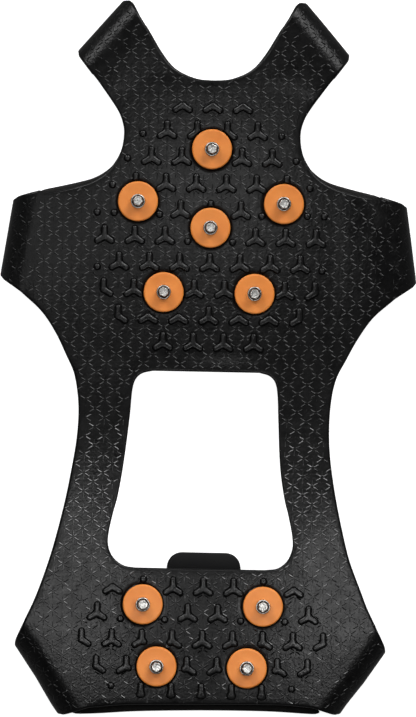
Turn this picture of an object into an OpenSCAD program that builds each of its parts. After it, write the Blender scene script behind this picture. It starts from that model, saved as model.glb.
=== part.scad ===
// Slip-on ice cleat: a moulded rubber overshoe that carries ten steel spikes.
// It lies on a table as shown: tread up, the upper rim folded under the sole.
// Millimetres. X runs across the foot, Y towards the toe, Z up out of the tread.

/* [Rubber sheet] */
// Thickness of the moulded sheet
sheet_t = 2.4; // [2:0.1:2.8]
// Outer radius of the folds where the arms curl under
fold_r = 8.2; // [7.8:0.1:9]
// Straight pieces per span of a curved edge
curve_n = 5; // [3:1:7]

/* [Tread lugs] */
// Spacing of the lugs across the foot
lug_pitch = 10.1; // [9.9:0.05:10.2]
// Spacing of the rows of lugs along the foot
lug_row = 8.85; // [8.7:0.05:9]
// Length of a lug's arm from its centre
lug_arm = 3.5; // [3:0.1:3.7]
// Width of a lug's arm
lug_w = 1.9; // [1.4:0.1:2.2]
// Height of the lugs above the sheet
lug_h = 1.8; // [0.8:0.1:2]
// Gap left between the lugs and the discs
lug_gap = 0.4; // [0.3:0.05:0.8]
// Diameter of the round pegs between the lugs
peg_d = 2; // [1.4:0.1:2.4]

/* [Spike discs] */
// Diameter of the disc under each spike
disc_d = 13.7; // [12:0.1:14]
// Thickness of the disc
disc_t = 1.9; // [1.4:0.1:2.4]
// Rounding of the disc's upper edge
disc_edge = 0.6; // [0.3:0.1:0.9]
// Hole through the disc for the spike's shank
disc_hole = 3.2; // [3.1:0.05:3.6]

/* [Spikes] */
// Diameter of the spike's collar
collar_d = 4.8; // [4.2:0.1:6]
// Height of the collar
collar_h = 1.5; // [1:0.1:2.2]
// Bevel on the collar's upper edge
collar_bevel = 0.45; // [0.2:0.05:0.6]
// Width of the spike's six-sided tip across its flats
tip_af = 3; // [2.4:0.1:3.4]
// Height of the tip above the collar
tip_h = 3; // [2:0.1:4]
// Diameter of the screwed shank
shank_d = 3; // [2.6:0.05:3]

/* [Anchor nuts] */
// Diameter of the anchor nut's flange on the shoe side
anchor_d = 11; // [9:0.1:13]
// Thickness of the flange
anchor_t = 1; // [0.8:0.1:1.4]
// Outside diameter of the nut's barrel
barrel_d = 5; // [4.6:0.1:5.6]
// Bore of the barrel, a running fit on the shank
barrel_bore = 3.1; // [3.1:0.02:3.2]

/* [Pull tab] */
// Half width of the tab at its root
tab_half = 13.2; // [10:0.1:15]
// How far the tab reaches forward of its root
tab_len = 12.2; // [9:0.1:13]

/* [Hidden] */
$fn = 48;

rubber = "#26272a";
rubber_lug = "#303134";
orange = "#e2883c";
steel = "#b9bcc0";
zinc = "#8f9498";

// Faces of the sole sheet, which lies one fold above the rim.
z_top = 2*fold_r;
z_under = z_top - sheet_t;

// Where the spikes stand: front pair of rows, then the heel.
studs = [
    [0, 70], [-24.4, 52.1], [24.4, 52.1], [0, 43.7], [-15.2, 21.9], [15.2, 21.9],
    [-20.1, -82.6], [20.1, -82.6], [-15.1, -103.3], [15.1, -103.3]];

// Corners where the sheet's straight folds begin and end, right-hand side.
toe_a = [28.6, 121];
toe_b = [45.9, 101.4];
wing_a = [65.6, 53];
wing_b = [69.7, 25.7];
heel_a = [62.2, -96.5];
heel_b = [46.2, -120];

// Curved edges of the sole sheet, right-hand side, toe to heel.
notch = [[0, 93], [6, 93.6], [12.5, 96.6], [17.3, 101.8], [22.2, 110.4]];
flank = [[38.2, 92.1], [32.5, 84.1], [30.2, 79.7], [29.3, 74.7], [30.5, 68.5],
    [34.2, 63.3], [38.7, 60.1], [44.9, 58.1], [55.6, 55.5]];
waist = [[62.6, 21.3], [55.3, 14.7], [50.3, 7.5], [46.4, 0], [43.4, -6.6],
    [41.9, -16.2], [42.1, -27], [43.7, -39], [46, -51], [50.3, -67.6],
    [54.3, -80], [58.3, -88.9]];
rear = [[37, -116.9], [27, -116], [13, -115.8], [0, -115.8]];

// Curved edges of the rim sheet under the sole, right-hand side.
rim_notch = [[0, 93.5], [6, 94.1], [12.5, 97.1], [17, 102.3], [21.9, 110.6]];
rim_flank = [[37.6, 92.6], [31.8, 84.3], [29.4, 79.7], [28.5, 74.7], [29.7, 68.5],
    [33.4, 64], [38.4, 61.6], [45, 60.1], [55.6, 57.5]];
rim_waist = [[62, 21.8], [54.6, 15.4], [49.4, 8], [45.4, 0], [42.4, -6.6],
    [40.9, -16.2], [41.1, -27], [42.7, -39], [45, -51], [49.3, -67.6],
    [53.4, -80], [57.6, -88.6]];
rim_rear = [[35, -119.4], [24, -118.7], [12, -118.4], [0, -118.4]];

// Mouth that the shoe goes in by, right-hand side, toe to heel.
mouth = [[0, 64], [14, 62], [24, 54], [31, 40], [34, 20], [32, 0], [30, -20],
    [31.2, -40], [33.5, -55], [33, -68], [27, -76.4], [18, -79]];

// Window at the waist, right-hand side, toe to heel.
window_top = [[18, -4.5], [22, -5.8], [24.2, -9.6], [25.1, -20], [26.5, -33.5],
    [28.3, -46], [29.6, -52], [30.8, -58.6], [30.9, -63], [29.3, -67],
    [26, -69.7], [22, -70.4]];

// Lugs of each row, right-hand half: [half pitches from the middle, arms kept].
// Arms kept: 1 stem, 2 inner leg, 4 outer leg, added together.
forefoot_y = 84.5;
forefoot_rows = [
    [[0, 6], [2, 6]],
    [[1, 5], [3, 7]],
    [[2, 7], [4, 7]],
    [[1, 7], [3, 7], [5, 1]],
    [[0, 1], [2, 7]],
    [[3, 7], [5, 7], [7, 7]],
    [[0, 7], [2, 7], [4, 7], [6, 7]],
    [[1, 7], [5, 7], [7, 3]],
    [[0, 7], [2, 6], [4, 6], [6, 3]],
    [[1, 7], [3, 7]]];
heel_y = -77;
heel_rows = [
    [[0, 7], [2, 7], [6, 6]],
    [[1, 7], [7, 7]],
    [[0, 7], [2, 3], [4, 5], [6, 7], [8, 3]],
    [[1, 3], [5, 5], [7, 3]],
    [[0, 1], [2, 1], [4, 1]]];
// Round pegs that fill the ends of the rows, right-hand side.
forefoot_pegs = [[23.2, 74.8], [28.2, 66.5], [33, 57.5], [38, 48.2], [32.3, 48.2],
    [17.1, 47.9], [7.5, 39], [37.6, 30]];
heel_pegs = [[20.1, -74.2], [27.5, -87.6], [12.7, -87.6], [30.2, -110]];

// A smooth curve through the points p, as straight pieces.
function pick(p, i) = i < 0 ? 2*p[0] - p[1]
    : i >= len(p) ? 2*p[len(p) - 1] - p[len(p) - 2] : p[i];
function between(a, b, c, d, t) = 0.5*(2*b + (c - a)*t
    + (2*a - 5*b + 4*c - d)*t*t + (3*b - a - 3*c + d)*t*t*t);
function curve(p) = [for (i = [0 : len(p) - 2], k = [0 : curve_n - 1])
    between(pick(p, i - 1), p[i], p[i + 1], pick(p, i + 2), k/curve_n),
    p[len(p) - 1]];

// Corner b of the path a, b, c, rounded to radius r.
function unit(v) = v/norm(v);
function rounded(a, b, c, r, n = 4) =
    let (u = unit(a - b), w = unit(c - b), half = acos(u*w)/2,
        m = b + unit(u + w)*r/sin(half),
        s = b + u*r/tan(half), e = b + w*r/tan(half),
        a0 = atan2(s[1] - m[1], s[0] - m[0]),
        da = atan2(e[1] - m[1], e[0] - m[0]) - a0,
        turn = da > 180 ? da - 360 : da < -180 ? da + 360 : da)
    [for (k = [0 : n]) m + r*[cos(a0 + turn*k/n), sin(a0 + turn*k/n)]];

function flip(p) = [for (i = [len(p) - 1 : -1 : 0]) [-p[i][0], p[i][1]]];
function last(p) = p[len(p) - 1];

// Right-hand half of a sheet with its six arms cut square at the folds.
function half_sheet(n, f, w, r) = concat(curve(n),
    rounded(last(n), toe_a, toe_b, 2), rounded(toe_a, toe_b, f[0], 1.2), curve(f),
    rounded(last(f), wing_a, wing_b, 1.7), rounded(wing_a, wing_b, w[0], 1.2), curve(w),
    rounded(last(w), heel_a, heel_b, 2.5), rounded(heel_a, heel_b, r[0], 1), curve(r));

module sheet_plan(n, f, w, r) {
    h = half_sheet(n, f, w, r);
    polygon(concat(h, flip(h)));
}

module mouth_plan() {
    h = curve(mouth);
    polygon(concat(h, flip(h)));
}

module window_plan() {
    h = curve(window_top);
    polygon(concat(h, flip(h)));
}

// Puts its children on a fold: X along it from a to b, Y outwards.
module at_fold(a, b) {
    translate([a[0], a[1], 0]) rotate([0, 0, atan2(b[1] - a[1], b[0] - a[0])]) children();
}

// Everything outside the line where a fold starts to curl.
module past_folds() {
    for (s = [0, 1]) mirror([s, 0, 0]) {
        at_fold(toe_a, toe_b) translate([-15, -fold_r, -1]) cube([60, 40, z_top + 2]);
        at_fold(wing_a, wing_b) translate([-15, -fold_r, -1]) cube([60, 40, z_top + 2]);
        at_fold(heel_a, heel_b) translate([-15, -fold_r, -1]) cube([60, 40, z_top + 2]);
    }
}

// Sole sheet between two lines across the foot, y0 to y1.
module sole_zone(y0, y1) {
    difference() {
        translate([0, 0, z_under]) linear_extrude(sheet_t) intersection() {
            difference() {
                sheet_plan(notch, flank, waist, rear);
                window_plan();
            }
            translate([-80, y0]) square([160, y1 - y0]);
        }
        past_folds();
    }
}

// Rim sheet between two lines across the foot.
module rim_zone(y0, y1) {
    difference() {
        linear_extrude(sheet_t) intersection() {
            difference() {
                sheet_plan(rim_notch, rim_flank, rim_waist, rim_rear);
                mouth_plan();
            }
            translate([-80, y0]) square([160, y1 - y0]);
        }
        past_folds();
    }
}

module stud_holes(list) {
    for (i = list) translate([studs[i][0], studs[i][1], z_under - 1])
        cylinder(d = barrel_d + 0.06, h = sheet_t + 2);
}

// One arm curling under: a half round of sheet, trimmed to the arm's sides.
module curl(a, b, sides) {
    at_fold(a, b) intersection() {
        difference() {
            translate([-10, -fold_r, fold_r]) rotate([0, 90, 0]) cylinder(r = fold_r, h = 60);
            translate([-11, -fold_r, fold_r]) rotate([0, 90, 0])
                cylinder(r = fold_r - sheet_t, h = 62);
            translate([-12, -3*fold_r, -1]) cube([64, 2*fold_r, z_top + 2]);
        }
        translate([0, 0, -1]) linear_extrude(z_top + 2) polygon(sides);
    }
}

toe_sides = [[2.6, -fold_r], [0.8, -2.4], [0.9, -1.2], [1.6, -0.3], [2.6, 1],
    [24.6, 1], [25.6, -0.4], [26.2, -1.4], [27.4, -fold_r]];
wing_sides = [[-3.4, -fold_r], [-0.8, -2], [0.2, -0.6], [1.4, 1],
    [26.4, 1], [27.4, -0.4], [28.2, -1.4], [31.2, -fold_r]];
heel_sides = [[-4.5, -fold_r], [-1.4, -2.6], [-0.2, -0.8], [1.8, 1],
    [27.2, 1], [28.2, -0.5], [29, -1.8], [30.7, -fold_r]];

module forefoot_pad() {
    color(rubber) difference() {
        sole_zone(-6, 130);
        stud_holes([0 : 5]);
    }
}

module heel_pad() {
    color(rubber) difference() {
        sole_zone(-130, -69);
        stud_holes([6 : 9]);
    }
}

module waist_bar(side) {
    color(rubber) intersection() {
        sole_zone(-69, -6);
        translate([side > 0 ? 5 : -85, -130, 0]) cube([80, 260, z_top]);
    }
}

module left_waist_bar() { waist_bar(-1); }
module right_waist_bar() { waist_bar(1); }

// Outline of a lug with the arms at the angles in dirs, anticlockwise.
function arm_end(d) = [for (k = [-2 : 2])
    (lug_arm - lug_w/2)*[cos(d), sin(d)] + lug_w/2*[cos(d + 45*k), sin(d + 45*k)]];
function lug_crotch(d, e) = let (gap = (e - d + 360) % 360, m = d + gap/2)
    lug_w/2/sin(gap/2)*[cos(m), sin(m)];
function lug_plan(dirs) = len(dirs) == 1
    ? concat(arm_end(dirs[0]), [for (k = [2 : 6])
        lug_w/2*[cos(dirs[0] + 45*k), sin(dirs[0] + 45*k)]])
    : [for (i = [0 : len(dirs) - 1])
        each concat(arm_end(dirs[i]), [lug_crotch(dirs[i], dirs[(i + 1) % len(dirs)])])];
// Angles of the arms kept, for a lug on the right (side 1) or left (side -1).
function kept(code, side) =
    let (stem = code % 2 == 1, inner = floor(code/2) % 2 == 1, outer = code >= 4,
        left = side > 0 ? inner : outer, right = side > 0 ? outer : inner)
    concat(stem ? [90] : [], left ? [212] : [], right ? [328] : []);

module lug(x, y, code, side) {
    translate([x, y, z_top]) linear_extrude(lug_h) polygon(lug_plan(kept(code, side)));
}

// Rows of lugs and pegs, cut clear of the discs.
module lugs(y0, rows, pegs) {
    difference() {
        union() {
            for (r = [0 : len(rows) - 1]) for (g = rows[r]) {
                lug(g[0]*lug_pitch/2, y0 - r*lug_row, g[1], 1);
                if (g[0] > 0) lug(-g[0]*lug_pitch/2, y0 - r*lug_row, g[1], -1);
            }
            for (p = pegs) for (s = [-1, 1])
                translate([s*p[0], p[1], z_top]) cylinder(d = peg_d, h = lug_h, $fn = 24);
        }
        for (p = studs) translate([p[0], p[1], z_top - 1])
            cylinder(d = disc_d + 2*lug_gap, h = lug_h + 2);
    }
}

module forefoot_lugs() { color(rubber_lug) lugs(forefoot_y, forefoot_rows, forefoot_pegs); }
module heel_lugs() { color(rubber_lug) lugs(heel_y, heel_rows, heel_pegs); }

module right_toe_strap() { color(rubber) curl(toe_a, toe_b, toe_sides); }
module left_toe_strap() { mirror([1, 0, 0]) right_toe_strap(); }
module right_side_wing() { color(rubber) curl(wing_a, wing_b, wing_sides); }
module left_side_wing() { mirror([1, 0, 0]) right_side_wing(); }
module right_heel_arm() { color(rubber) curl(heel_a, heel_b, heel_sides); }
module left_heel_arm() { mirror([1, 0, 0]) right_heel_arm(); }

module toe_band() { color(rubber) rim_zone(61.8, 130); }
module side_band(side) {
    color(rubber) intersection() {
        rim_zone(-70, 61.8);
        translate([side > 0 ? 5 : -85, -130, -1]) cube([80, 260, sheet_t + 2]);
    }
}
module left_side_band() { side_band(-1); }
module right_side_band() { side_band(1); }
module heel_band() { color(rubber) rim_zone(-130, -70); }

// Finger tab on the heel band: a plate that flexes about a round root.
tab_root = [-77.5, sheet_t/2];
module pull_tab() {
    c = [tab_half - 0.8, tab_root[0] + tab_len];
    h = concat([[0, tab_root[0] + tab_len]],
        rounded([0, c[1]], c, [tab_half, tab_root[0]], 5, 6), [[tab_half, tab_root[0]]]);
    color(rubber) {
        linear_extrude(sheet_t) polygon(concat(h, flip(h)));
        translate([-tab_half, tab_root[0], tab_root[1]]) rotate([0, 90, 0])
            cylinder(d = sheet_t, h = 2*tab_half);
    }
}

module at_stud(i) { translate([studs[i][0], studs[i][1], z_top]) children(); }

// Moulded disc that spreads the spike's load on the sheet.
module disc(i) {
    r = disc_d/2;
    color(orange) at_stud(i) difference() {
        union() {
            cylinder(r = r, h = disc_t - disc_edge, $fn = 96);
            translate([0, 0, disc_t - disc_edge])
                cylinder(r1 = r, r2 = r - disc_edge, h = disc_edge, $fn = 96);
        }
        translate([0, 0, -1]) cylinder(d = disc_hole, h = disc_t + 2);
    }
}

// Steel spike: six-sided tip, round collar and a screwed shank.
module spike(i) {
    shank_l = disc_t + sheet_t + anchor_t - 0.2;
    tip_d = tip_af/cos(30);
    color(steel) at_stud(i) translate([0, 0, disc_t]) {
        translate([0, 0, -shank_l]) cylinder(d = shank_d, h = shank_l + 0.2);
        cylinder(d = collar_d, h = collar_h - collar_bevel);
        translate([0, 0, collar_h - collar_bevel])
            cylinder(d1 = collar_d, d2 = collar_d - 2*collar_bevel, h = collar_bevel);
        translate([0, 0, collar_h - 0.1]) intersection() {
            rotate([0, 0, 17*i]) cylinder(d = tip_d, h = tip_h + 0.1, $fn = 6);
            cylinder(d1 = tip_d + 2*(tip_h + 0.1) - 0.5, d2 = tip_d - 0.5, h = tip_h + 0.1);
        }
    }
}

// Flanged nut on the shoe side that the spike screws into.
module anchor(i) {
    color(zinc) at_stud(i) difference() {
        union() {
            translate([0, 0, -sheet_t]) cylinder(d = barrel_d, h = sheet_t);
            translate([0, 0, -sheet_t - anchor_t]) cylinder(d = anchor_d, h = anchor_t);
        }
        translate([0, 0, -sheet_t - anchor_t - 1])
            cylinder(d = barrel_bore, h = sheet_t + anchor_t + 2);
    }
}

module disc_01() { disc(0); }
module disc_02() { disc(1); }
module disc_03() { disc(2); }
module disc_04() { disc(3); }
module disc_05() { disc(4); }
module disc_06() { disc(5); }
module disc_07() { disc(6); }
module disc_08() { disc(7); }
module disc_09() { disc(8); }
module disc_10() { disc(9); }
module spike_01() { spike(0); }
module spike_02() { spike(1); }
module spike_03() { spike(2); }
module spike_04() { spike(3); }
module spike_05() { spike(4); }
module spike_06() { spike(5); }
module spike_07() { spike(6); }
module spike_08() { spike(7); }
module spike_09() { spike(8); }
module spike_10() { spike(9); }
module anchor_01() { anchor(0); }
module anchor_02() { anchor(1); }
module anchor_03() { anchor(2); }
module anchor_04() { anchor(3); }
module anchor_05() { anchor(4); }
module anchor_06() { anchor(5); }
module anchor_07() { anchor(6); }
module anchor_08() { anchor(7); }
module anchor_09() { anchor(8); }
module anchor_10() { anchor(9); }

forefoot_pad();
left_waist_bar();
right_waist_bar();
heel_pad();
forefoot_lugs();
heel_lugs();
left_toe_strap();
right_toe_strap();
left_side_wing();
right_side_wing();
left_heel_arm();
right_heel_arm();
toe_band();
left_side_band();
right_side_band();
heel_band();
pull_tab();
disc_01();
disc_02();
disc_03();
disc_04();
disc_05();
disc_06();
disc_07();
disc_08();
disc_09();
disc_10();
spike_01();
spike_02();
spike_03();
spike_04();
spike_05();
spike_06();
spike_07();
spike_08();
spike_09();
spike_10();
anchor_01();
anchor_02();
anchor_03();
anchor_04();
anchor_05();
anchor_06();
anchor_07();
anchor_08();
anchor_09();
anchor_10();
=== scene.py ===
import math

import bpy
import numpy as np
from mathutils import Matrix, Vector
from mathutils.geometry import delaunay_2d_cdt


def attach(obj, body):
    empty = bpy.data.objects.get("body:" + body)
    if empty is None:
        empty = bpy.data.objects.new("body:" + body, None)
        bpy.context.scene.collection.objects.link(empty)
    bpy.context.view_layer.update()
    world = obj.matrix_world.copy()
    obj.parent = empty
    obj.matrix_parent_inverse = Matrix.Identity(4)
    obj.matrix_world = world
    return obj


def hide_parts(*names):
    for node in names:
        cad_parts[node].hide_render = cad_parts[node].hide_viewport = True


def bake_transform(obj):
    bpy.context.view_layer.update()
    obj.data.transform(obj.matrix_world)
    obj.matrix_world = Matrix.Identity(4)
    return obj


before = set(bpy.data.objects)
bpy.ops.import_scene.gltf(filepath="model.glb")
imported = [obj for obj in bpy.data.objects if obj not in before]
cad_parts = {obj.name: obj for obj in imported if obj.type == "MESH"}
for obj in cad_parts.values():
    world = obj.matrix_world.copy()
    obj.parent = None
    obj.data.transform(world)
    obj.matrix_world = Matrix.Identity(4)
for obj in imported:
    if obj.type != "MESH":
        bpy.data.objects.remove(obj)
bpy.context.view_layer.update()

MM = 0.001

# ------------------------------------------------------------------ measures, mm
T = 2.4                      # sheet
R = 8.2                      # outer radius of the folds
RM = R - T / 2               # the same at mid sheet
Z_TOP = 2 * R                # tread face of the sole sheet
Z_MID, Z_RIM = Z_TOP - T / 2, T / 2
STUDS = [(0, 70), (-24.4, 52.1), (24.4, 52.1), (0, 43.7), (-15.2, 21.9), (15.2, 21.9),
         (-20.1, -82.6), (20.1, -82.6), (-15.1, -103.3), (15.1, -103.3)]
NAMES = ["%02d" % (i + 1) for i in range(10)]
DISC_R, DISC_T = 6.85, 1.9

# Straight folds of the right-hand half: ends, then the two side edges of the curl
# as (along the fold, outwards) from where the sheet starts to bend.
FOLDS = {
    "toe": ((28.6, 121), (45.9, 101.4),
            [(2.6, -R), (0.8, -2.4), (0.9, -1.2), (1.6, -0.3), (2.6, 1)],
            [(27.4, -R), (26.2, -1.4), (25.6, -0.4), (24.6, 1)]),
    "wing": ((65.6, 53), (69.7, 25.7),
             [(-3.4, -R), (-0.8, -2), (0.2, -0.6), (1.4, 1)],
             [(31.2, -R), (28.2, -1.4), (27.4, -0.4), (26.4, 1)]),
    "heel": ((62.2, -96.5), (46.2, -120),
             [(-4.5, -R), (-1.4, -2.6), (-0.2, -0.8), (1.8, 1)],
             [(30.7, -R), (29, -1.8), (28.2, -0.5), (27.2, 1)]),
}
SOLE_EDGES = {
    "notch": [(0, 93), (6, 93.6), (12.5, 96.6), (17.3, 101.8), (22.2, 110.4)],
    "flank": [(38.2, 92.1), (32.5, 84.1), (30.2, 79.7), (29.3, 74.7), (30.5, 68.2),
              (34.3, 62.3), (39.2, 58.6), (45.6, 56.3), (51.5, 55.0), (55.6, 54.9)],
    "waist": [(62.6, 21.3), (55.3, 14.7), (50.3, 7.5), (46.4, 0), (43.4, -6.6),
              (41.9, -16.2), (42.1, -27), (43.7, -39), (46, -51), (50.3, -67.6),
              (54.3, -80), (58.3, -88.9)],
    "rear": [(37, -116.9), (27, -116), (13, -115.8), (0, -115.8)],
    "hole": [(18, -4.5), (22, -5.8), (24.2, -9.6), (25.1, -20), (26.5, -33.5),
             (28.3, -46), (29.6, -52), (30.8, -58.6), (30.9, -63), (29.3, -67),
             (26, -69.7), (22, -70.4)],
}
RIM_EDGES = {
    "notch": [(0, 93.5), (6, 94.1), (12.5, 97.1), (17, 102.3), (21.9, 110.6)],
    "flank": [(37.6, 92.6), (31.8, 84.3), (29.4, 79.7), (28.5, 74.7), (29.9, 68.5),
              (33.8, 63.6), (38.6, 60.3), (44.9, 58.3), (55.6, 55.8)],
    "waist": [(62, 21.8), (54.6, 15.4), (49.4, 8), (45.4, 0), (42.4, -6.6),
              (40.9, -16.2), (41.1, -27), (42.7, -39), (45, -51), (49.3, -67.6),
              (53.4, -80), (57.6, -88.6)],
    "rear": [(40.4, -119.0), (38.6, -119.6), (35, -119.5), (24, -118.8), (12, -118.5), (0, -118.4)],
    "hole": [(0, 64), (14, 62), (24, 54), (31, 40), (34, 20), (32, 0), (30, -20),
             (31.2, -40), (33.5, -55), (33, -68), (27, -76.4), (18, -79)],
}

# Tread: [half pitches from the middle, arms kept: 1 stem + 2 inner leg + 4 outer leg]
LUG_PITCH, LUG_ROW, LUG_ARM, LUG_W, LUG_H, LUG_GAP = 10.1, 8.85, 3.5, 1.9, 1.8, 0.4
FOREFOOT = (84.5, [
    [(0, 6), (2, 6)],
    [(1, 5), (3, 7)],
    [(2, 7), (4, 7)],
    [(1, 7), (3, 7), (5, 1)],
    [(0, 1), (2, 7)],
    [(3, 7), (5, 7), (7, 7)],
    [(0, 7), (2, 7), (4, 7), (6, 7)],
    [(1, 7), (5, 7), (7, 3)],
    [(0, 7), (2, 6), (4, 6), (6, 3)],
    [(1, 7), (3, 7)]],
    [(23.2, 74.8), (28.2, 66.5), (33, 57.5), (38, 48.2), (32.3, 48.2),
     (17.1, 47.9), (7.5, 39), (37.6, 30)])
HEEL = (-77, [
    [(0, 7), (2, 7), (6, 6)],
    [(1, 7), (7, 7)],
    [(0, 7), (2, 3), (4, 5), (6, 7), (8, 3)],
    [(1, 3), (5, 5), (7, 3)],
    [(0, 1), (2, 1), (4, 1)]],
    [(20.1, -74.2), (27.5, -87.6), (12.7, -87.6), (30.2, -110)])

# Fine star grain of the sheet
GRAIN = 3.07                 # half the cell of the centred square lattice
RAYS = [(32, 1.0), (90, 0.35), (148, 1.0), (212, 1.0), (270, 0.35), (328, 1.0)]


# ------------------------------------------------------------------ curves in plan
def catmull(points, n=24):
    p = np.array(points, float)
    e = np.vstack([2 * p[0] - p[1], p, 2 * p[-1] - p[-2]])
    t = np.linspace(0, 1, n, endpoint=False)[:, None]
    out = []
    for i in range(1, len(e) - 2):
        a, b, c, d = e[i - 1], e[i], e[i + 1], e[i + 2]
        out.append(0.5 * (2 * b + (c - a) * t + (2 * a - 5 * b + 4 * c - d) * t * t
                          + (3 * b - a - 3 * c + d) * t ** 3))
    return np.vstack(out + [p[-1:]])


def resample(path, step):
    s = np.r_[0, np.cumsum(np.linalg.norm(np.diff(path, axis=0), axis=1))]
    at = np.linspace(0, s[-1], max(2, round(s[-1] / step)) + 1)
    return np.c_[np.interp(at, s, path[:, 0]), np.interp(at, s, path[:, 1])]


def mirrored(path):
    return path[::-1] * [-1, 1]


class Fold:
    """A straight fold: X along it, Y outwards; side is 1 on the right, -1 on the left."""

    def __init__(self, name, side):
        a, b, left, right = FOLDS[name]
        self.name, self.side = name, side
        self.a = np.array(a, float)
        self.u = np.array(b, float) - self.a
        self.u /= np.linalg.norm(self.u)
        self.v = np.array([-self.u[1], self.u[0]])
        self.left, self.right = catmull(left), catmull(right)
        self.n = int(round((right[0][0] - left[0][0]) / 1.15))

    def flat(self, x, y):
        """Row-frame plan point of fold coordinates."""
        p = self.a + np.multiply.outer(x, self.u) + np.multiply.outer(y, self.v)
        return p * [self.side, 1]

    def local(self, p):
        d = np.asarray(p, float) * [self.side, 1] - self.a
        return d @ self.u, d @ self.v

    def sides(self, theta):
        y = -R + R * math.sin(theta)
        return (np.interp(y, self.left[:, 1], self.left[:, 0]),
                np.interp(y, self.right[:, 1], self.right[:, 0]))

    def curled(self, x, s, lift):
        """A point s mm of arc past the start of the bend and lift mm out of mid sheet."""
        th = s / R
        r = RM + lift
        p = self.flat(x, -R + r * np.sin(th))
        return np.r_[p, R + r * np.cos(th)]


ALL_FOLDS = [Fold(n, s) for s in (1, -1) for n in ("toe", "wing", "heel")]
RIGHT = {f.name: f for f in ALL_FOLDS if f.side == 1}


def free_edges(edges, step):
    """The free edges of a sheet's right half and its hole, each from fold to fold."""
    toe, wing, heel = RIGHT["toe"], RIGHT["wing"], RIGHT["heel"]

    def end(f, k):
        return f.flat(np.array([(f.left if k == 0 else f.right)[0][0]]), np.array([-R]))

    def inside(path, *folds):
        keep = np.ones(len(path), bool)
        for f in folds:
            x, y = f.local(path)
            keep &= ~((y > -R - 0.35) & (np.abs(x - 14) < 16.6))
        return path[keep]

    notch = np.vstack([inside(catmull(edges["notch"]), toe), end(toe, 0)])
    notch = resample(np.vstack([mirrored(notch), notch[1:]]), step)
    flank = resample(np.vstack([end(toe, 1), inside(catmull(edges["flank"]), toe, wing),
                                end(wing, 0)]), step)
    waist = resample(np.vstack([end(wing, 1), inside(catmull(edges["waist"]), wing, heel),
                                end(heel, 0)]), step)
    rear = np.vstack([end(heel, 1), inside(catmull(edges["rear"]), heel)])
    rear = resample(np.vstack([rear, mirrored(rear)[1:]]), step)
    hole = catmull(edges["hole"])
    loop = np.vstack([hole, mirrored(hole)])
    keep = np.linalg.norm(loop - np.roll(loop, 1, axis=0), axis=1) > 1e-6
    loop = loop[keep]
    hole = resample(np.vstack([loop, loop[:1]]), step)[:-1]
    return notch, flank, waist, rear, hole


def within(points, loop):
    """Whether each point lies inside the closed loop."""
    x, y = points[:, 0][:, None], points[:, 1][:, None]
    a, b = loop, np.roll(loop, -1, axis=0)
    cross = (a[:, 1] > y) != (b[:, 1] > y)
    with np.errstate(divide="ignore", invalid="ignore"):
        at = a[:, 0] + (y - a[:, 1]) * (b[:, 0] - a[:, 0]) / (b[:, 1] - a[:, 1])
    return (cross & (x < at)).sum(1) % 2 == 1


def clearance(points, loops):
    """Distance from each point to the nearest loop edge."""
    best = np.full(len(points), 1e9)
    for loop in loops:
        a, b = loop, np.roll(loop, -1, axis=0)
        d = b - a
        for k in range(0, len(points), 4000):
            p = points[k:k + 4000, None, :]
            t = np.clip(((p - a) * d).sum(2) / (d * d).sum(1), 0, 1)
            gap = np.linalg.norm(p - (a + t[..., None] * d), axis=2).min(1)
            best[k:k + 4000] = np.minimum(best[k:k + 4000], gap)
    return best


def triangulate(outer, holes, pitch, margin, seats=()):
    """Points and anticlockwise triangles that fill a plan outline."""
    loops = [outer] + holes
    lo, hi = outer.min(0), outer.max(0)
    rows = np.arange(lo[1], hi[1], pitch * 0.866)
    grid = np.vstack([np.c_[np.arange(lo[0] + (i % 2) * pitch / 2, hi[0], pitch),
                            np.full(len(np.arange(lo[0] + (i % 2) * pitch / 2, hi[0], pitch)), y)]
                      for i, y in enumerate(rows)])
    keep = within(grid, outer)
    for h in holes:
        keep &= ~within(grid, h)
    grid = grid[keep]
    grid = grid[clearance(grid, loops) > margin]
    for x, y in seats:
        grid = grid[np.hypot(grid[:, 0] - x, grid[:, 1] - y) > 8.6]
        for r, n in ((3.7, 22), (4.9, 30), (6.0, 44), (6.5, 72), (6.85, 72), (7.2, 72), (7.55, 72), (8.05, 54)):
            a = (np.arange(n) + 0.5 * (n % 4)) * 2 * math.pi / n
            grid = np.vstack([grid, np.c_[x + r * np.cos(a), y + r * np.sin(a)]])
    points, edges, start = [], [], 0
    for loop in loops:
        n = len(loop)
        points += [Vector(p) for p in loop]
        edges += [(start + i, start + (i + 1) % n) for i in range(n)]
        start += n
    points += [Vector(p) for p in grid]
    v, _, f, origin, _, _ = delaunay_2d_cdt(points, edges, [], 1, 1e-6)
    v = np.array([tuple(p) for p in v])
    f = np.array([t for t in f])
    c = v[f].mean(1)
    keep = within(c, outer)
    for h in holes:
        keep &= ~within(c, h)
    f = f[keep]
    a, b, d = v[f[:, 0]], v[f[:, 1]], v[f[:, 2]]
    turn = (b[:, 0] - a[:, 0]) * (d[:, 1] - a[:, 1]) - (b[:, 1] - a[:, 1]) * (d[:, 0] - a[:, 0])
    f[turn < 0] = f[turn < 0][:, ::-1]
    new = np.full(len(points), -1)
    for i, o in enumerate(origin):
        for k in o:
            new[k] = i
    return v, f, new


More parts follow.
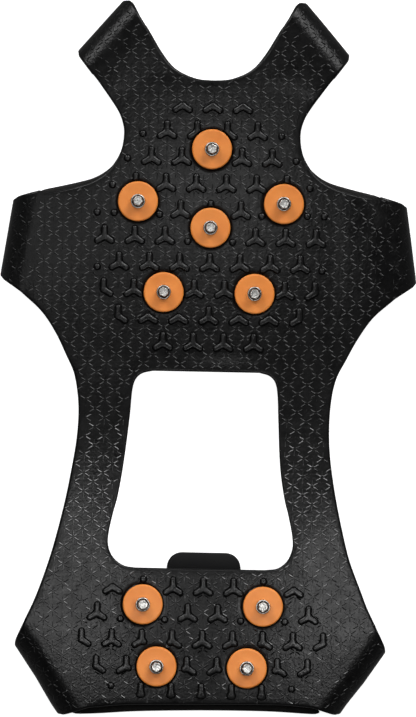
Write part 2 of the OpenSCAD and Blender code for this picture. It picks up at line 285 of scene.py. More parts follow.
# ------------------------------------------------------------------ mesh helpers
def make_object(name, verts, faces, material, smooth=None, uv=None, second=None):
    mesh = bpy.data.meshes.new(name)
    mesh.from_pydata((np.asarray(verts, float) * MM).tolist(), [], [list(map(int, f)) for f in faces])
    flags = np.ones(len(mesh.polygons), bool) if smooth is None else np.asarray(smooth, bool)
    mesh.polygons.foreach_set("use_smooth", flags)
    if uv is not None:
        layer = mesh.uv_layers.new(name="OFBake")
        layer.uv.foreach_set("vector", np.asarray(uv, np.float32).ravel())
    mesh.update()
    mesh.materials.append(material)
    if second is not None:
        for other in second[0]:
            mesh.materials.append(other)
        mesh.polygons.foreach_set("material_index", np.asarray(second[1], np.int32))
    o = bpy.data.objects.new(name, mesh)
    bpy.context.scene.collection.objects.link(o)
    return o


def vertex_normals(v, faces):
    n = np.zeros_like(v)
    for f in faces:
        p = v[list(f)]
        k = np.cross(p[1] - p[0], p[2] - p[0]) if len(f) == 3 else np.cross(p[2] - p[0], p[3] - p[1])
        for i in f:
            n[i] += k
    return n / np.maximum(np.linalg.norm(n, axis=1), 1e-12)[:, None]


def edge_profile(t, r):
    """A sheet's rounded edge: (inwards, out of mid sheet) from one face to the other."""
    arc = [(r - r * math.sin(a), t / 2 - r + r * math.cos(a))
           for a in np.radians([0, 20, 40, 58, 74, 90])]
    return arc + [(a, -b) for a, b in reversed(arc)]


def thicken(v, faces, normals, profile, flat_a, flat_b, tags, tight=()):
    """A closed shell of a mid surface with rounded free edges. Returns vertices,
    faces, each face's chart and its corners' plan coordinates. The edges through
    the tight vertices are only eased."""
    t2 = profile[0][1]
    out, inn = v + normals * t2, v - normals * t2
    half = {}
    for k, f in enumerate(faces):
        for i, j in zip(f, list(f[1:]) + [f[0]]):
            half[(int(i), int(j))] = k
    open_edges = [(e, k) for e, k in half.items() if (e[1], e[0]) not in half]
    after = {i: j for (i, j), _ in open_edges}
    before = {j: i for i, j in after.items()}
    inset = profile[0][0]
    ring, extra = {}, []
    n0 = 2 * len(v)
    for i in after:
        tangent = v[after[i]] - v[before[i]]
        tangent /= np.linalg.norm(tangent)
        c = np.cross(normals[i], tangent) * (0.25 if i in tight else 1)
        out[i] = v[i] + c * inset + normals[i] * t2
        inn[i] = v[i] + c * inset - normals[i] * t2
        ids = [i]
        for a, b in profile[1:-1]:
            ids.append(n0 + len(extra))
            extra.append(v[i] + c * a + normals[i] * b)
        ring[i] = ids + [i + len(v)]
    verts = np.vstack([out, inn, np.array(extra)])
    new_faces, charts, corners = [], [], []
    for f, g in zip(faces, tags):
        flat = flat_a if g == 0 else flat_b
        new_faces.append([int(i) for i in f])
        charts.append(g)
        corners.append([flat[i] for i in f])
        new_faces.append([int(i) + len(v) for i in f][::-1])
        charts.append(g + 2)
        corners.append([flat[i] for i in f][::-1])
    steps = np.r_[0, np.cumsum(np.linalg.norm(np.diff(np.array(profile), axis=0), axis=1))]
    for (i, j), k in open_edges:
        g = tags[k]
        flat = flat_a if g == 0 else flat_b
        d = flat[j] - flat[i]
        d = d / max(np.linalg.norm(d), 1e-9)
        o = np.array([d[1], -d[0]]) * (1 if g == 0 else -1)
        for m in range(len(profile) - 1):
            new_faces.append([ring[j][m], ring[i][m], ring[i][m + 1], ring[j][m + 1]])
            charts.append(g)
            corners.append([flat[j] + o * steps[m], flat[i] + o * steps[m],
                            flat[i] + o * steps[m + 1], flat[j] + o * steps[m + 1]])
    return verts, new_faces, charts, corners


# Where each chart of the skin's map lies: outer sole, outer rim, then their inner faces.
CHARTS = [(-90, -150), (-75, -125), (-90, -150), (-75, -125)]
CHART_AT = [(0.01, 0.01), (0.33, 0.01), (0.60, 0.01), (0.01, 0.52)]


def charted(p, g):
    return (CHART_AT[g][0] + (p[0] - CHARTS[g][0]) / 590, CHART_AT[g][1] + (p[1] - CHARTS[g][1]) / 590)


# ------------------------------------------------------------------ materials
def material(name):
    m = bpy.data.materials.new(name)
    m.use_nodes = True
    nodes, links = m.node_tree.nodes, m.node_tree.links
    return m, nodes, links, nodes["Principled BSDF"]


def noise(nodes, links, coords, scale, detail=3.0, rough=0.55):
    n = nodes.new("ShaderNodeTexNoise")
    n.inputs["Scale"].default_value = scale
    n.inputs["Detail"].default_value = detail
    n.inputs["Roughness"].default_value = rough
    links.new(coords, n.inputs["Vector"])
    return n.outputs["Fac"]


def ramp(nodes, links, fac, stops):
    n = nodes.new("ShaderNodeValToRGB")
    e = n.color_ramp.elements
    while len(e) < len(stops):
        e.new(0.5)
    for k, (at, col) in zip(e, stops):
        k.position, k.color = at, (*col, 1)
    links.new(fac, n.inputs["Fac"])
    return n.outputs["Color"]


def remap(nodes, links, value, a, b, c, d):
    n = nodes.new("ShaderNodeMapRange")
    for k, x in zip(("From Min", "From Max", "To Min", "To Max"), (a, b, c, d)):
        n.inputs[k].default_value = x
    links.new(value, n.inputs["Value"])
    return n.outputs["Result"]


def bumped(nodes, links, heights, normal):
    """Chains bump nodes, (height, strength, distance in m), onto the shader's normal."""
    last = None
    for h, strength, distance in heights:
        n = nodes.new("ShaderNodeBump")
        n.inputs["Strength"].default_value = strength
        n.inputs["Distance"].default_value = distance
        links.new(h, n.inputs["Height"])
        if last is not None:
            links.new(last, n.inputs["Normal"])
        last = n.outputs["Normal"]
    links.new(last, normal)


def rubber(name, dark, light, rough, grain, shine=0.5, pebble=0.10):
    m, nodes, links, bsdf = material(name)
    at = nodes.new("ShaderNodeTexCoord").outputs["Object"]
    broad = noise(nodes, links, at, 28, 2.0)
    cloudy = noise(nodes, links, at, 260, 4.0, 0.6)
    mix = nodes.new("ShaderNodeMath")
    mix.operation = "MULTIPLY_ADD"
    mix.inputs[1].default_value = 0.45
    links.new(cloudy, mix.inputs[0])
    links.new(remap(nodes, links, broad, 0, 1, 0, 0.55), mix.inputs[2])
    links.new(ramp(nodes, links, mix.outputs[0], [(0.30, dark), (0.72, light)]), bsdf.inputs["Base Color"])
    links.new(remap(nodes, links, cloudy, 0.25, 0.75, rough - 0.06, rough + 0.07), bsdf.inputs["Roughness"])
    fine = noise(nodes, links, at, 2600, 3.0, 0.7)
    pebbled = noise(nodes, links, at, 1300, 0.0)
    lumps = noise(nodes, links, at, 420, 2.0)
    bumped(nodes, links, [(lumps, 0.25, 0.0002), (pebbled, pebble, 0.00022), (fine, grain, 0.00008)],
           bsdf.inputs["Normal"])
    bsdf.inputs["Specular IOR Level"].default_value = shine
    return m


def orange_plastic():
    m, nodes, links, bsdf = material("orange_disc")
    at = nodes.new("ShaderNodeTexCoord").outputs["Object"]
    broad = noise(nodes, links, at, 160, 3.0)
    links.new(ramp(nodes, links, broad, [(0.3, (0.645, 0.190, 0.025)), (0.7, (0.730, 0.238, 0.039))]),
              bsdf.inputs["Base Color"])
    cloudy = noise(nodes, links, at, 900, 4.0, 0.65)
    links.new(remap(nodes, links, cloudy, 0.25, 0.75, 0.40, 0.56), bsdf.inputs["Roughness"])
    fine = noise(nodes, links, at, 3800, 3.0, 0.7)
    bumped(nodes, links, [(cloudy, 0.25, 0.0001), (fine, 0.3, 0.00006)], bsdf.inputs["Normal"])
    bsdf.inputs["Specular IOR Level"].default_value = 0.45
    bsdf.inputs["Subsurface Weight"].default_value = 0.06
    bsdf.inputs["Subsurface Radius"].default_value = (0.0012, 0.0005, 0.0002)
    return m


def steel(name, dark, light, rough_lo, rough_hi, stretch, fine=1100):
    m, nodes, links, bsdf = material(name)
    bsdf.inputs["Metallic"].default_value = 1.0
    at = nodes.new("ShaderNodeTexCoord").outputs["Object"]
    turned = nodes.new("ShaderNodeMapping")
    turned.inputs["Scale"].default_value = stretch
    links.new(at, turned.inputs["Vector"])
    lines = noise(nodes, links, turned.outputs["Vector"], 1500, 3.0, 0.6)
    spots = noise(nodes, links, at, fine, 4.0, 0.65)
    links.new(ramp(nodes, links, spots, [(0.34, dark), (0.62, light)]), bsdf.inputs["Base Color"])
    links.new(remap(nodes, links, spots, 0.3, 0.7, rough_hi, rough_lo), bsdf.inputs["Roughness"])
    bumped(nodes, links, [(lines, 0.06, 0.00003), (spots, 0.06, 0.00006)], bsdf.inputs["Normal"])
    return m


SHEET = rubber("rubber_sheet", (0.0014, 0.0014, 0.0015), (0.0034, 0.0034, 0.0035), 0.32, 0.18, 0.24, 0.24)
INNER = rubber("rubber_inside", (0.0050, 0.0048, 0.0045), (0.0085, 0.0080, 0.0072), 0.62, 0.20, 0.25)
RAY = rubber("rubber_grain", (0.0014, 0.0014, 0.0015), (0.0034, 0.0034, 0.0035), 0.32, 0.18, 0.75, 0.10)
TREAD = rubber("rubber_tread", (0.0042, 0.0042, 0.0043), (0.0076, 0.0076, 0.0077), 0.30, 0.20, 0.30, 0.36)
# darker, duller rubber for the lug walls: painted shade, the black outline that walls and their shadows make round
# each lug
LUG_WALL_SHADE = rubber("rubber_lug_wall_painted_shade", (0.0022, 0.0022, 0.0022), (0.0050, 0.0050, 0.0050), 0.60, 0.12, 0.04)
TAB = rubber("rubber_tab", (0.0042, 0.0042, 0.0044), (0.0064, 0.0064, 0.0067), 0.62, 0.12, 0.14)
ORANGE = orange_plastic()
SPIKE = steel("spike_steel", (0.32, 0.305, 0.285), (0.54, 0.52, 0.495), 0.28, 0.38, (1, 1, 6))
# near-black steel for the groove between collar and tip: painted shade in the recess
GROOVE_SHADE = steel("spike_groove_painted_shade", (0.035, 0.033, 0.030), (0.10, 0.095, 0.088), 0.46, 0.62, (1, 1, 1))
TIP = steel("spike_tip", (0.10, 0.098, 0.094), (0.74, 0.73, 0.70), 0.40, 0.54, (1, 1, 1), 2400)
ZINC = steel("anchor_steel", (0.42, 0.43, 0.44), (0.60, 0.61, 0.62), 0.28, 0.46, (1, 1, 1))


# ------------------------------------------------------------------ the rubber skin
def sheet_outline(edges, step):
    """Closed outline with the indices of each fold's points, and the hole."""
    notch, flank, waist, rear, hole = free_edges(edges, step)
    path, at = [], {}

    def add(points, fold=None):
        start = len(path)
        path.extend(points if not path else points[1:])
        if fold:
            at[fold] = list(range(start - 1, len(path)))

    def folded(name, side):
        f = RIGHT[name]
        p = f.flat(np.linspace(f.left[0][0], f.right[0][0], f.n + 1), np.full(f.n + 1, -R))
        return p if side == 1 else p[::-1] * [-1, 1]

    add(notch)
    add(folded("toe", 1), ("toe", 1))
    add(flank)
    add(folded("wing", 1), ("wing", 1))
    add(waist)
    add(folded("heel", 1), ("heel", 1))
    add(rear)
    add(folded("heel", -1), ("heel", -1))
    add(mirrored(waist))
    add(folded("wing", -1), ("wing", -1))
    add(mirrored(flank))
    add(folded("toe", -1), ("toe", -1))
    path.pop()                              # the last point is the first again
    n = len(path)
    at = {k: [i % n for i in v] for k, v in at.items()}
    at = {k: v if k[1] == 1 else v[::-1] for k, v in at.items()}
    return np.array(path), at, hole


def eased(x, at, values):
    """Smooth interpolation through (at, values)."""
    k = np.clip(np.searchsorted(at, x) - 1, 0, len(at) - 2)
    at, values = np.array(at, float), np.array(values, float)
    t = np.clip((x - at[k]) / (at[k + 1] - at[k]), 0, 1)
    t = t * t * (3 - 2 * t)
    return values[k] * (1 - t) + values[k + 1] * t


# How the limp rubber lies askew, mm to the right: along the length, at four widths.
ASKEW_Y = [-125, -100, -80, -64, -41, -13, 11, 45, 90, 120]
ASKEW = [(-48, [-1.3, -1.3, -1.5, -1.3, -1.6, -1.3, -0.7, -0.6, -0.4, -0.8]),
         (-27, [0, 0, -0.4, -1.2, -0.7, -0.6, -0.1, 0, -0.3, -0.7]),
         (27, [0, 0, -0.3, -1.4, -2.0, -1.0, -0.2, 0, 0.3, 0.6]),
         (48, [0, 0, -0.4, -1.4, -1.0, -0.4, -0.2, 0, 0.3, 0.6])]


def askew(v):
    """Moves finished skin points the little that the sheet lies askew."""
    v = np.array(v, float)
    x, y = v[:, 0], v[:, 1]
    shifts = np.array([eased(y, ASKEW_Y, k) for _, k in ASKEW])
    at = np.array([k for k, _ in ASKEW], float)
    k = np.clip(np.searchsorted(at, x) - 1, 0, 2)
    t = np.clip((x - at[k]) / (at[k + 1] - at[k]), 0, 1)
    rows = np.arange(len(v))
    v[:, 0] += shifts[k, rows] * (1 - t) + shifts[k + 1, rows] * t
    corner = np.exp(-((x + 40) ** 2 + (y + 118.5) ** 2) / 18) * np.clip((5 - v[:, 2]) / 2.5, 0, 1)
    v[:, 1] += np.clip((-108 - y) / 8, 0, 1) * 0.019 * x + np.clip((y - 92) / 20, 0, 1) * (0.3 + 0.006 * x)
    v[:, 0] -= 2.8 * corner
    return v


def lay(p):
    """How far the limp sole sheet stands off the flat between treads and folds, mm."""
    p = np.asarray(p, float)
    x, y = p[:, 0], p[:, 1]
    keep = np.clip((np.abs(x) ** 4 / 41.0 ** 4 + np.abs(y - 46) ** 4 / 44.0 ** 4 - 1) / 0.6, 0, 1)
    keep *= np.clip((np.abs(x) ** 4 / 40.0 ** 4 + np.abs(y + 94) ** 4 / 23.0 ** 4 - 1) / 0.6, 0, 1)
    for f in ALL_FOLDS:
        u, v = f.local(p)
        near = (u > -8) & (u < 36) & (x * f.side > 0)
        keep = np.where(near, keep * np.clip((-R - v) / 6, 0, 1), keep)
    keep = keep * keep * (3 - 2 * keep)
    wave = (0.24 * np.sin(x / 9.0 + y / 21 + 0.8) + 0.20 * np.sin(y / 11.0 - x / 17 + 2.1)
            + 0.10 * np.sin(x / 5.5 - y / 8.5))
    return wave * keep


def seat(p):
    """Depth of the moulded groove that each disc sits in."""
    r = np.min([np.hypot(p[:, 0] - x, p[:, 1] - y) for x, y in STUDS], axis=0)
    return 0.6 * np.clip((r - 6.40) / 0.30, 0, 1) * np.clip((7.35 - r) / 0.30, 0, 1)


sole_loop, sole_folds, window = sheet_outline(SOLE_EDGES, 1.15)
rim_loop, rim_folds, mouth = sheet_outline(RIM_EDGES, 1.15)
bores = [np.array([(x + 2.53 * math.cos(a), y + 2.53 * math.sin(a))
                   for a in np.linspace(0, 2 * math.pi, 24, endpoint=False)]) for x, y in STUDS]
sv, sf, snew = triangulate(sole_loop, [window] + bores, 2.1, 1.5, STUDS)
rv, rf, rnew = triangulate(rim_loop, [mouth], 2.6, 1.6)


verts = [np.c_[sv, Z_MID + lay(sv) - seat(sv)], np.c_[rv, np.full(len(rv), Z_RIM)]]
flat_a = [sv, rv]
faces = [tuple(f) for f in sf]
tags = [0] * len(faces)
base = len(sv)
faces += [tuple(base + i for i in f[::-1]) for f in rf]
tags += [1] * len(rf)
count = len(sv) + len(rv)
ROWS = 26
for f in ALL_FOLDS:
    top = [int(snew[i]) for i in sole_folds[(f.name, f.side)]]
    low = [int(base + rnew[i]) for i in rim_folds[(f.name, f.side)]]
    rows, strip, plan = [top], [], []
    for k in range(1, ROWS):
        th = math.pi * k / ROWS
        xl, xr = f.sides(th)
        x = np.linspace(xl, xr, f.n + 1)
        p = f.flat(x, np.full(f.n + 1, -R + RM * math.sin(th)))
        strip.append(np.c_[p, np.full(f.n + 1, R + RM * math.cos(th))])
        plan.append(f.flat(x, np.full(f.n + 1, -R + R * th)))
        rows.append([count + (k - 1) * (f.n + 1) + j for j in range(f.n + 1)])
    rows.append(low)
    count += (ROWS - 1) * (f.n + 1)
    verts.append(np.vstack(strip))
    flat_a.append(np.vstack(plan))
    end = f.flat(np.linspace(*f.sides(math.pi), f.n + 1), np.full(f.n + 1, -R + R * math.pi))
    for i, p in zip(low, end):
        flat_a[1][i - base] = p             # the same points on the outer sole's chart
    for k in range(ROWS):
        for j in range(f.n):
            q = (rows[k][j], rows[k][j + 1], rows[k + 1][j + 1], rows[k + 1][j])
            faces.append(q if f.side == 1 else q[::-1])
            tags.append(0)
verts = np.vstack(verts)
flat_a = np.vstack(flat_a)
flat_b = verts[:, :2].copy()
normals = vertex_normals(verts, faces)
shell, shell_faces, charts, corners = thicken(
    verts, faces, normals, edge_profile(T, 0.75), flat_a, flat_b, tags,
    set(int(k) for k in snew[len(sole_loop) + len(window):][:24 * len(STUDS)]))


# The star grain: small raised rays, laid on the sole's face and over its folds.
def star_grain():
    for i in range(-30, 31):
        for j in range(-46, 47):
            if (i + j) % 2:
                continue
            node = np.array([i, j]) * GRAIN + [0.4, 0.9]
            if abs(node[0]) > 95 or abs(node[1]) > 150:
                continue
            for k, (deg, weight) in enumerate(RAYS):
                d = np.array([math.cos(math.radians(deg)), math.sin(math.radians(deg))])
                yield node, d, weight, (i * 7 + j * 13 + k * 5) % 11


def on_skin(p, lift):
    """Skin points over plan points p, lift mm above the outer face, and which are on it."""
    out = np.c_[p, Z_TOP + lift + lay(p)]
    good = np.ones(len(p), bool)
    bent = np.zeros(len(p), bool)
    for f in ALL_FOLDS:
        x, y = f.local(p)
        hit = (p[:, 0] * f.side > 0) & (y > -R) & (x > -6) & (x < 34)
        if not hit.any():
            continue
        x, th, r = x[hit], (y[hit] + R) / R, RM + T / 2 + lift[hit]
        across = -R + R * np.sin(np.minimum(th, math.pi))
        xl = np.interp(across, f.left[:, 1], f.left[:, 0])
        xr = np.interp(across, f.right[:, 1], f.right[:, 0])
        good[hit] = (th < 1.1) & (x > xl + 0.75) & (x < xr - 0.75)
        out[hit] = np.c_[f.flat(x, -R + r * np.sin(th)), R + r * np.cos(th)]
        bent |= hit
    return out, good, bent


rays = list(star_grain())
mids = np.array([n + 1.3 * d for n, d, _, _ in rays])
_, _, over = on_skin(mids, np.zeros(len(mids)))
ends = np.array([n + 2.2 * d for n, d, _, _ in rays])
ok = within(mids, sole_loop) & ~within(mids, window) & within(ends, sole_loop) & ~within(ends, window)
ok &= (clearance(mids, [sole_loop, window]) > 1.0) & (clearance(ends, [sole_loop, window]) > 0.7)
ok |= over
ok &= np.min([np.hypot(mids[:, 0] - x, mids[:, 1] - y) for x, y in STUDS], axis=0) > 7.9
rays = [r for r, k in zip(rays, ok) if k]
plans, lifts = [], []
for node, d, weight, odd in rays:
    side = np.array([-d[1], d[0]])
    a, b = node + 0.42 * d, node + (2.16 + 0.012 * odd) * d
    wide = (0.24 + 0.006 * odd) * (0.75 + 0.25 * weight)
    high = (0.068 + 0.0046 * odd) * weight * (1 + 0.5 * min(max(-node[1] / 50, 0), 1))
    plans.append([a - wide * side, a + wide * side, b + wide * 0.8 * side, b - wide * 0.8 * side,
                  a + 0.30 * d, b - 0.36 * d])
    lifts.append([-0.02] * 4 + [high] * 2)
plans, lifts = np.array(plans), np.array(lifts)
points, good, _ = on_skin(plans.reshape(-1, 2), lifts.ravel())
points, good = points.reshape(-1, 6, 3), good.reshape(-1, 6).all(1)
grain_v, grain_f, grain_p, bright = [], [], [], []
for pts, plan in zip(points[good], plans[good]):
    n = len(grain_v)
    grain_v += list(pts)
    for q in ((0, 3, 5, 4), (2, 1, 4, 5), (1, 0, 4), (3, 2, 5), (0, 1, 2, 3)):
        grain_f.append([n + i for i in q])
        grain_p.append([plan[i] for i in q])
    # the grain is more worn, and shinier, along the waist
    odd = n * 7 % 11
    bright += [2 if -78 + odd * 1.6 < plan[0, 1] < -18 - odd * 2.5 or plan[0, 1] < -60 and odd < 2 else 0] * 5

n = len(shell)
uv = []
for pts, g in zip(corners, charts):
    uv += [charted(p, g) for p in pts]
for pts in grain_p:
    uv += [charted(p, 0) for p in pts]
everything = askew(np.vstack([shell, np.array(grain_v)]))
all_faces = shell_faces + [[n + i for i in f] for f in grain_f]
smooth = [True] * len(shell_faces) + [False] * len(grain_f)
dull = [0 if g == 0 else 1 for g in charts] + bright
skin = make_object("rubber_overshoe", everything, all_faces, SHEET, smooth, uv, ((INNER, RAY), dull))
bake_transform(skin)
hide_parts("forefoot_pad", "heel_pad", "left_waist_bar", "right_waist_bar",
            "left_toe_strap", "right_toe_strap", "left_side_wing", "right_side_wing",
            "left_heel_arm", "right_heel_arm", "toe_band", "left_side_band",
            "right_side_band", "heel_band")


# ------------------------------------------------------------------ the finger tab
def pull_tab():
    corner = [(12.4 - 5 * (1 - math.sin(a)), -65.3 - 5 * (1 - math.cos(a)))
              for a in np.radians(np.linspace(0, 84, 12))]
    right = np.array([(0, -65.3)] + corner + [(13.2, -77.5), (13.6, -79.4), (14.0, -81.0)])
    loop = np.vstack([right, mirrored(right)])
    keep = np.linalg.norm(loop - np.roll(loop, 1, axis=0), axis=1) > 1e-6
    loop = loop[keep]
    loop = resample(np.vstack([loop, loop[:1]]), 0.9)[:-1]
    v, f, _ = triangulate(loop, [], 1.4, 1.2)
    mid = np.c_[v, np.full(len(v), Z_RIM)]
    nrm = np.tile([0.0, 0.0, 1.0], (len(v), 1))
    t, tf, _, _ = thicken(mid, [tuple(x) for x in f], nrm, edge_profile(T - 0.16, 0.8), v, v, [0] * len(f))
    tab = make_object("finger_tab", t, tf, TAB)
    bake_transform(tab)
    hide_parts("pull_tab")


pull_tab()


# ------------------------------------------------------------------ tread lugs
LEVELS = [(-0.60, 0.42), (0.00, 0.39), (0.10, 0.28), (0.34, 0.18), (0.80, 0.10), (1.20, 0.04), (LUG_H - 0.30, 0.00),
          (LUG_H - 0.21, -0.03), (LUG_H - 0.16, -0.09), (LUG_H - 0.06, -0.28), (LUG_H - 0.02, -0.38), (LUG_H, -0.50)]
AROUND = 64


def lug_field(p, arms, radius, blend):
    """Distance outside a lug's plan: rounded arms joined with small fillets."""
    total = np.zeros(p.shape[:-1])
    for a, b in arms:
        d = b - a
        t = np.clip(((p - a) @ d) / max(d @ d, 1e-9), 0, 1)
        gap = np.linalg.norm(p - (a + t[..., None] * d), axis=-1)
        total += np.exp(-gap / blend)
    return -blend * np.log(np.maximum(total, 1e-30)) - radius


def add_lug(out_v, out_f, arms, radius, middle, height):
    ang = np.linspace(0, 2 * math.pi, AROUND, endpoint=False)
    dirs = np.c_[np.cos(ang), np.sin(ang)]
    arms = [(np.array(a, float), np.array(b, float)) for a, b in arms]
    middle = np.array(middle, float)
    near = [np.array(s, float) for s in STUDS if math.hypot(middle[0] - s[0], middle[1] - s[1]) < 14]
    t = np.linspace(0, 6.5, 260)
    p = middle + t[:, None, None] * dirs[None]
    field = lug_field(p, arms, radius, 0.22)
    start = len(out_v)
    for z, grow in LEVELS:
        f = field - grow
        for s in near:
            edge = DISC_R + LUG_GAP - np.linalg.norm(p - s, axis=-1)
            f = np.maximum(f, edge - min(grow, 0.2) * 0.6)
        gone = f > 0
        first = np.where(gone.any(0), gone.argmax(0), len(t) - 1)
        first = np.maximum(first, 1)
        col = np.arange(AROUND)
        f0, f1 = f[first - 1, col], f[first, col]
        share = np.clip(f0 / np.where(f0 - f1 == 0, 1, f0 - f1), 0, 1)
        r = np.maximum(t[first - 1] + share * (t[first] - t[first - 1]), 0.02)
        ring = middle + r[:, None] * dirs
        out_v += [(x, y, Z_TOP + z * height / LUG_H if z > 0 else Z_TOP + z) for x, y in ring]
    n = len(LEVELS)
    for k in range(n - 1):
        for i in range(AROUND):
            j = (i + 1) % AROUND
            out_f.append([start + k * AROUND + i, start + k * AROUND + j,
                          start + (k + 1) * AROUND + j, start + (k + 1) * AROUND + i])
    for k, flip in ((0, True), (n - 1, False)):
        hub = len(out_v)
        z = Z_TOP + (LEVELS[0][0] if k == 0 else height)
        out_v.append((middle[0], middle[1], z))
        for i in range(AROUND):
            j = (i + 1) % AROUND
            f = [start + k * AROUND + i, start + k * AROUND + j, hub]
            out_f.append(f[::-1] if flip else f)


def tread(name, zone, node):
    y0, rows, pegs = zone
    v, f = [], []
    reach = LUG_ARM - 0.70
    for r, row in enumerate(rows):
        for half, code in row:
            for side in ((1,) if half == 0 else (1, -1)):
                c = np.array([side * half * LUG_PITCH / 2, y0 - r * LUG_ROW])
                inner, outer = code & 2, code & 4
                left, right = (inner, outer) if side > 0 else (outer, inner)
                turns = ([90] if code & 1 else []) + ([212] if left else []) + ([328] if right else [])
                arms = [(c, c + reach * np.array([math.cos(math.radians(a)), math.sin(math.radians(a))]))
                        for a in turns]
                middle = c
                inside = [s for s in STUDS if math.hypot(c[0] - s[0], c[1] - s[1]) < DISC_R + LUG_GAP + 0.3]
                if len(turns) == 1:
                    middle = c + 0.6 * (arms[0][1] - c)
                if inside:
                    away = c - np.array(inside[0], float)
                    middle = np.array(inside[0], float) + away / np.linalg.norm(away) * (DISC_R + LUG_GAP + 0.9)
                    if len(turns) == 1:
                        middle = np.array([c[0], inside[0][1] + DISC_R + LUG_GAP + 0.85])
                near = min(math.hypot(c[0] - x, c[1] - y) for x, y in STUDS)
                if code in (3, 5) and near < 13:
                    turn = 212 if not left else 328
                    arms.append((c, c + 0.9 * np.array([math.cos(math.radians(turn)), math.sin(math.radians(turn))])))
                if code == 1:
                    foot = c + [0, -0.35]
                    arms += [(foot - [0.42, 0], foot + [0.42, 0])]
                add_lug(v, f, arms, 0.82, middle, LUG_H)
    for x, y in pegs:
        for side in (1, -1):
            c = (side * x, y)
            add_lug(v, f, [(c, c)], 0.90, c, LUG_H)
    v = np.array(v)
    # faces below the lugs' top rounding take the dark wall rubber, painted shade round each lug
    side = [int(all(v[k][2] < Z_TOP + LUG_H - 0.19 for k in q)) for q in f]
    o = make_object(name, v, f, TREAD, second=((LUG_WALL_SHADE,), side))
    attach(o, "sole")
    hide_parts(node)


tread("forefoot_tread", FOREFOOT, "forefoot_lugs")
tread("heel_tread", HEEL, "heel_lugs")


# ------------------------------------------------------------------ discs and spikes
def lathe(rings):
    """Closed mesh through rings of points, first and last closed by a hub."""
    n = len(rings[0])
    v = [tuple(p) for ring in rings for p in ring]
    f = []
    for k in range(len(rings) - 1):
        for i in range(n):
            j = (i + 1) % n
            f.append([k * n + i, k * n + j, (k + 1) * n + j, (k + 1) * n + i])
    for k, flip in ((0, True), (len(rings) - 1, False)):
        hub = len(v)
        v.append(tuple(np.mean(np.array(rings[k], float), axis=0)))
        for i in range(n):
            q = [k * n + i, k * n + (i + 1) % n, hub]
            f.append(q[::-1] if flip else q)
    return v, f


def circle(r, z, n, wob=0.0, seed=0):
    a = np.linspace(0, 2 * math.pi, n, endpoint=False)
    rr = r * (1 + wob * np.sin(3 * a + seed) + wob * 0.6 * np.sin(7 * a + 2 * seed))
    return np.c_[rr * np.cos(a), rr * np.sin(a), np.full(n, z)]


def hexagon(af, z, n, turn, soft=26.0):
    a = np.linspace(0, 2 * math.pi, n, endpoint=False)
    face = np.array([np.maximum(np.cos(a - turn - k * math.pi / 3), 1e-6) for k in range(6)])
    r = af / 2 / (face ** soft).sum(0) ** (1 / soft)
    return np.c_[r * np.cos(a), r * np.sin(a), np.full(n, z)]


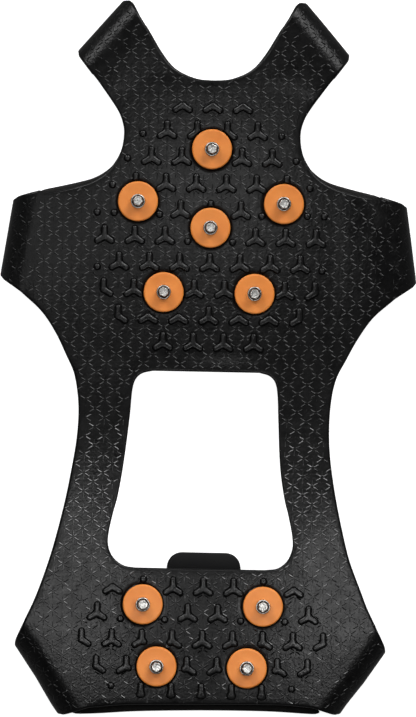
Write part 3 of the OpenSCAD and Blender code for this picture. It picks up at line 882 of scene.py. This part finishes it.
for i, (name, (sx, sy)) in enumerate(zip(NAMES, STUDS)):
    # disc: flat washer with rounded edges, a faint dish and a raised lip at its hole
    n = 112
    top, out = DISC_T, DISC_R - 0.17
    edge = [(out - 0.55 + 0.55 * math.sin(a), top - 0.55 + 0.55 * math.cos(a))
            for a in np.radians([6, 22, 38, 54, 70, 86])]
    prof = ([(1.7, 0.05), (out - 0.3, 0.0), (out - 0.08, 0.06), (out, 0.22), (out, 0.8)]
            + edge[::-1] + [(out - 0.9, top - 0.02), (5.2, top - 0.06), (4.0, top - 0.07),
                            (3.2, top - 0.06), (2.75, top - 0.01), (2.5, top), (1.7, top)])
    rings = [circle(r, z, n, 0.0012, i) for r, z in prof]
    v = [tuple(p) for ring in rings for p in ring]
    f = []
    m = len(rings)
    for k in range(m):
        for a in range(n):
            b = (a + 1) % n
            f.append([k * n + a, k * n + b, ((k + 1) % m) * n + b, ((k + 1) % m) * n + a])
    disc = make_object("disc_face_" + name, np.array(v) + [sx, sy, Z_TOP], f, ORANGE)
    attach(disc, "disc_" + name)
    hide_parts("disc_" + name)

    # spike: threaded shank, collar with a bright bevel, six-sided tip with a worn end, and dark steel in the groove
    # round the tip's foot as painted shade
    n = 48
    turn = math.radians(17 * i)
    rings = []
    low = -(DISC_T + T + 1 - 0.2)
    rings.append(circle(1.05, low, n))
    turns = np.arange(low + 0.25, -0.35, 0.5 / 6)
    a = np.linspace(0, 2 * math.pi, n, endpoint=False)
    for z in turns:
        wave = np.abs(((z / 0.5 - a / (2 * math.pi)) % 1) - 0.5) * 2
        r = 1.22 + 0.27 * np.clip(wave * 1.25 - 0.1, 0, 1)
        rings.append(np.c_[r * np.cos(a), r * np.sin(a), np.full(n, z)])
    rings += [circle(1.3, -0.2, n), circle(1.3, 0.0, n), circle(2.28, 0.0, n), circle(2.4, 0.10, n),
              circle(2.4, 0.98, n), circle(2.385, 1.08, n), circle(2.33, 1.17, n), circle(2.24, 1.235, n),
              circle(2.15, 1.26, n), circle(2.07, 1.25, n), circle(2.01, 1.21, n), circle(1.97, 1.13, n),
              circle(1.95, 0.84, n), hexagon(3.02, 0.80, n, turn, 14),
              hexagon(3.00, 1.30, n, turn), hexagon(3.00, 2.6, n, turn), hexagon(3.00, 4.16, n, turn),
              hexagon(2.95, 4.30, n, turn, 18), hexagon(2.80, 4.43, n, turn, 12)]
    for r, z in ((1.26, 4.50), (1.16, 4.49), (1.02, 4.46), (0.84, 4.43), (0.62, 4.41), (0.34, 4.40)):
        ring = circle(r, z, n)
        ring[:, 2] += 0.020 * np.sin(2 * a + 3 * i + r * 5) + 0.02 * np.sin(3 * a - i + r * 9) - 0.05
        rings.append(ring)
    v, f = lathe(rings)
    v = np.array(v)
    groove = np.hypot(v[:, 0], v[:, 1]) < 1.99
    lean = np.array([0.05, 0.04]) + 0.07 * np.array([math.cos(2.1 * i + 0.3), math.sin(2.1 * i + 0.3)])
    v[:, :2] += np.clip((v[:, 2:3] - 1.5) / 3, 0, 1) * lean
    # faces: 1 the tip's end, 2 the groove round the tip's foot, which gets the dark steel as painted shade
    kind = []
    for q in f:
        if all(v[k][2] > 4.25 for k in q):
            kind.append(1)
        else:
            kind.append(2 if all(groove[k] and 0.7 < v[k][2] < 1.6 for k in q) else 0)
    spike = make_object("spike_body_" + name, v + [sx, sy, Z_TOP + DISC_T], f, SPIKE, second=((TIP, GROOVE_SHADE), kind))
    spike.data.set_sharp_from_angle(angle=math.radians(50))
    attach(spike, "spike_" + name)
    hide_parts("spike_" + name)

    # the nut on the shoe side keeps its shape, with its edges eased
    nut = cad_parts["anchor_" + name]
    nut.data.materials.clear()
    nut.data.materials.append(ZINC)
    soft = nut.modifiers.new("ease", "BEVEL")
    soft.width, soft.segments, soft.limit_method, soft.angle_limit = 0.00015, 2, "ANGLE", math.radians(40)

# ------------------------------------------------------------------ floor, light, camera
floor = bpy.data.meshes.new("floor")
floor.from_pydata([(-30, -30, -0.0003), (30, -30, -0.0003), (30, 30, -0.0003), (-30, 30, -0.0003)], [], [(0, 1, 2, 3)])
white, nodes, links, bsdf = material("floor_white")
bsdf.inputs["Base Color"].default_value = (0.60, 0.60, 0.60, 1)
bsdf.inputs["Roughness"].default_value = 0.8
bsdf.inputs["Specular IOR Level"].default_value = 0.1
bsdf.inputs["Emission Color"].default_value = (1, 1, 1, 1)
bsdf.inputs["Emission Strength"].default_value = 0.93
floor.materials.append(white)
ground = bpy.data.objects.new("floor", floor)
bpy.context.scene.collection.objects.link(ground)
ground.visible_glossy = False       # the folds mirror the dark of the studio, not the floor
wall = bpy.data.meshes.new("backdrop")
ring = [(6.5 * math.cos(a), 6.5 * math.sin(a)) for a in np.linspace(0, 2 * math.pi, 96, endpoint=False)]
wall.from_pydata([(x, y, z) for z in (-0.01, 4.0) for x, y in ring], [],
                 [(i, 96 + i, 96 + (i + 1) % 96, (i + 1) % 96) for i in range(96)])
wall.materials.append(white)
backdrop = bpy.data.objects.new("backdrop", wall)
bpy.context.scene.collection.objects.link(backdrop)
backdrop.visible_glossy = backdrop.visible_diffuse = backdrop.visible_shadow = False

world = bpy.data.worlds.new("studio")
bpy.context.scene.world = world
world.use_nodes = True
wn, wl = world.node_tree.nodes, world.node_tree.links
back = wn["Background"]
up = wn.new("ShaderNodeSeparateXYZ")
wl.new(wn.new("ShaderNodeTexCoord").outputs["Generated"], up.inputs[0])
sky = wn.new("ShaderNodeValToRGB")
sky.color_ramp.elements[0].position, sky.color_ramp.elements[0].color = 0.0, (0.16, 0.16, 0.16, 1)
sky.color_ramp.elements[1].position, sky.color_ramp.elements[1].color = 0.8, (0.02, 0.02, 0.02, 1)
wl.new(up.outputs["Z"], sky.inputs["Fac"])
wl.new(sky.outputs["Color"], back.inputs["Color"])
back.inputs["Strength"].default_value = 1.0


def area_light(name, at, to, size, power, shape=(1, 1)):
    lamp = bpy.data.lights.new(name, "AREA")
    lamp.shape, lamp.size, lamp.size_y, lamp.energy = "RECTANGLE", size * shape[0], size * shape[1], power
    o = bpy.data.objects.new(name, lamp)
    o.location = at
    o.rotation_euler = (Vector(to) - Vector(at)).to_track_quat("-Z", "Y").to_euler()
    o.visible_camera = False
    bpy.context.scene.collection.objects.link(o)
    return o


area_light("key", (0.38, 0.63, 0.55), (0, 0.0, 0), 0.40, 5.0)
area_light("second", (-0.42, 0.64, 0.54), (0, 0.0, 0), 0.42, 4.2)
for x, y, power in ((-0.050, -0.086, 0.057), (0.054, -0.086, 0.070), (0.002, 0.062, 0.028), (-0.066, 0.036, 0.014)):
    area_light("sheen", (x, y, 0.16), (x, y, 0), 0.05, power)

cam = bpy.data.cameras.new("camera")
cam.sensor_width = 36
cam.lens = 375
cam.clip_end = 100
eye = bpy.data.objects.new("camera", cam)
eye.location = (0.00005, 0, 2.514)
eye.rotation_euler = (0, 0, math.radians(1.15))
bpy.context.scene.collection.objects.link(eye)
bpy.context.scene.camera = eye
bpy.context.scene.view_settings.view_transform = "Standard"

bpy.context.view_layer.update()
